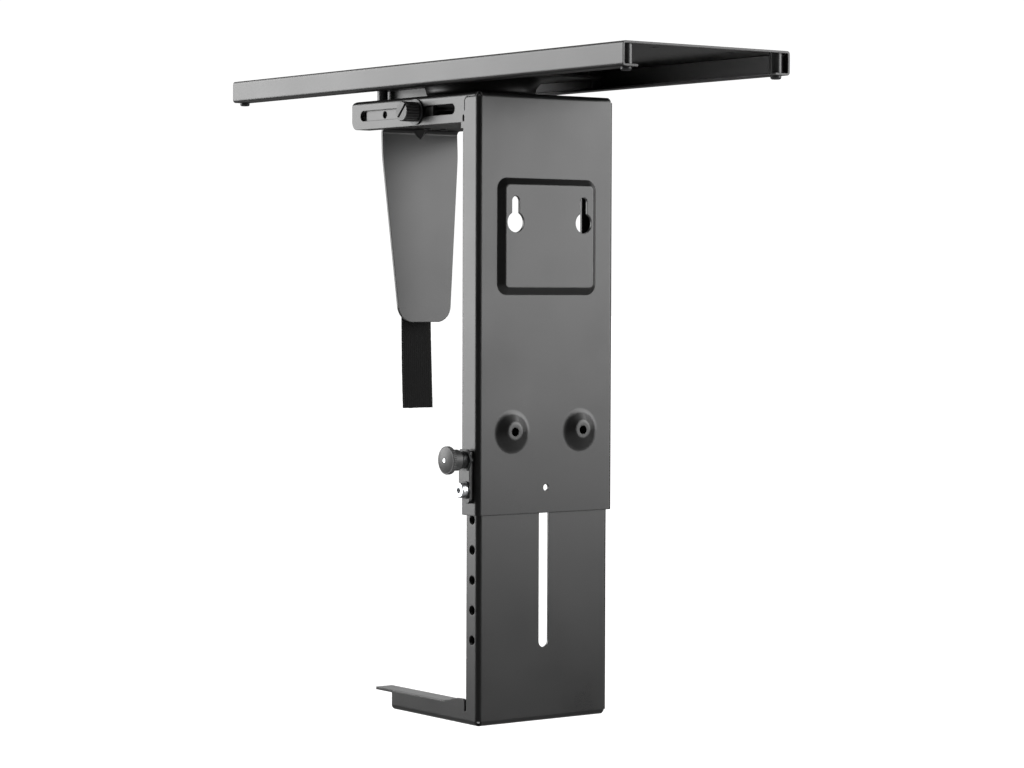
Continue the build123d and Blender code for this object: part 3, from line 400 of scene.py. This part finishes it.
# ---------------------------------------------------------------- finish the CAD nodes
def dress_nodes():
    """Give every CAD node the detailed material of its record slot."""
    looks = {
        "black_powder_coat": powder_coat("powder_coat"),
        "black_steel": black_steel("black_steel"),
        "black_plastic": moulded_plastic("knob_plastic", 0.030, 0.44, 0.60 * MM),
        "black_rubber": rubber("sleeve_rubber"),
        "nylon": moulded_plastic("glide_nylon", 0.010, 0.45, 0.5 * MM),
        "zinc": zinc_plate("zinc_plate"),
        "woven_strap": loop_tape("loop_tape_plain"),
    }
    own = {"lower_bracket": powder_coat("powder_coat_lower", 0.56)}
    for name, node in NODES.items():
        look = own.get(name, looks[SLOT_OF[name]])
        for index in range(len(node.data.materials)):
            node.data.materials[index] = look


# ---------------------------------------------------------------- studio
def add(name, data):
    made = bpy.data.objects.new(name, data)
    bpy.context.scene.collection.objects.link(made)
    return made


def heading(yaw, up=0.0):
    """A level direction, yaw degrees from +Y towards +X, raised by up degrees."""
    a, e = math.radians(yaw), math.radians(up)
    return Vector((math.sin(a) * math.cos(e), math.cos(a) * math.cos(e), math.sin(e)))


def make_camera():
    camera = add("camera", bpy.data.cameras.new("camera"))
    camera.data.lens = CAMERA_LENS
    camera.location = CAMERA_AT
    camera.rotation_mode = "QUATERNION"
    aim = heading(CAMERA_YAW, -CAMERA_DOWN).to_track_quat("-Z", "Y")
    roll = Matrix.Rotation(math.radians(CAMERA_ROLL), 4, "Z").to_quaternion()
    camera.rotation_quaternion = aim @ roll
    camera.data.clip_end = CAMERA_CLIP
    bpy.context.scene.camera = camera


def make_softboxes():
    low, high = CAD_BOX
    centre = (low + high) / 2
    for name, yaw, height, distance, width, tall, radiance in SOFTBOXES:
        light = bpy.data.lights.new(name, "AREA")
        light.shape = "RECTANGLE"
        light.size, light.size_y = width, tall
        light.energy = radiance * math.pi * width * tall
        lamp = add(name, light)
        lamp.visible_camera = False
        if yaw is None:
            lamp.location = centre + Vector((0, 0, height))
            continue
        lamp.location = Vector((centre.x, centre.y, height)) + heading(yaw) * distance
        lamp.rotation_mode = "QUATERNION"
        lamp.rotation_quaternion = heading(yaw).to_track_quat("Z", "Y")


def make_floor():
    mesh = bpy.data.meshes.new("floor")
    z = CAD_BOX[0].z - HEIGHT_DROP - FLOOR_CLEARANCE
    corners = [(-1, -1), (1, -1), (1, 1), (-1, 1)]
    mesh.from_pydata([(x * FLOOR_REACH, y * FLOOR_REACH, z) for x, y in corners],
                     [], [(0, 1, 2, 3)])
    floor = add("floor", mesh)
    s = Shader("floor_paper")
    s.set(Base_Color=grey(FLOOR_TONE), Roughness=0.9, Specular_IOR_Level=0.1)
    away = s.node("ShaderNodeVectorMath", {0: s.coords}, operation="LENGTH").outputs["Value"]
    s.set(Emission_Color=grey(1.0))
    s.set(Emission_Strength=s.remap(away, *FLOOR_GLOW_FROM, *FLOOR_GLOW, True))
    mesh.materials.append(s.material)
    floor.visible_glossy = False


def make_world():
    """White behind the object; reflections see a pale room with a dark side at the camera."""
    world = bpy.data.worlds.new("studio")
    bpy.context.scene.world = world
    world.use_nodes = True
    tree = world.node_tree
    tree.nodes.clear()

    def node(kind, inputs=None, **settings):
        made = tree.nodes.new(kind)
        for key, value in settings.items():
            setattr(made, key, value)
        for key, value in (inputs or {}).items():
            if isinstance(value, bpy.types.NodeSocket):
                tree.links.new(value, made.inputs[key])
            else:
                made.inputs[key].default_value = value
        return made

    def ramp(value, low, high, to_low, to_high):
        return node("ShaderNodeMapRange", {0: value, 1: low, 2: high, 3: to_low, 4: to_high},
                    interpolation_type="SMOOTHSTEP").outputs[0]

    def maths(operation, a, b):
        return node("ShaderNodeMath", {0: a, 1: b}, operation=operation).outputs[0]

    way = node("ShaderNodeTexCoord").outputs["Generated"]
    up = node("ShaderNodeSeparateXYZ", {0: way}).outputs[2]
    front = tuple(-heading(CAMERA_YAW))
    facing = node("ShaderNodeVectorMath", {0: way, 1: front},
                  operation="DOT_PRODUCT").outputs["Value"]
    behind = ramp(facing, *WALL_SIDE, 1.0, SIDE_LIGHT)
    height = maths("MULTIPLY", ramp(up, *WALL_FOOT, 0.0, ROOM_LIGHT),
                   ramp(up, *WALL_TOP, 1.0, HIGH_WALL))
    walls = maths("MULTIPLY", height, behind)
    over = maths("MULTIPLY", ramp(up, *CEILING_EDGE, 0.0, CEILING_LIGHT),
                 ramp(facing, *CEILING_SIDE, 1.0, CEILING_SHARE))
    ceiling = maths("ADD", over, ramp(up, *ZENITH_EDGE, 0.0, ZENITH_LIGHT))
    ground = ramp(up, *GROUND_EDGE, FLOOR_LIGHT, 0.0)
    glow = maths("ADD", maths("ADD", walls, ceiling), ground)
    seen = node("ShaderNodeLightPath").outputs["Is Camera Ray"]
    total = node("ShaderNodeMix", {0: seen, 2: glow, 3: PAPER_WHITE},
                 data_type="FLOAT").outputs[0]
    shade = node("ShaderNodeBackground", {"Color": grey(1.0), "Strength": total})
    out = node("ShaderNodeOutputWorld")
    tree.links.new(shade.outputs[0], out.inputs["Surface"])


make_camera()
make_softboxes()
make_floor()
make_world()
bpy.context.scene.view_settings.view_transform = "Standard"
dress_nodes()
strap_cloth()
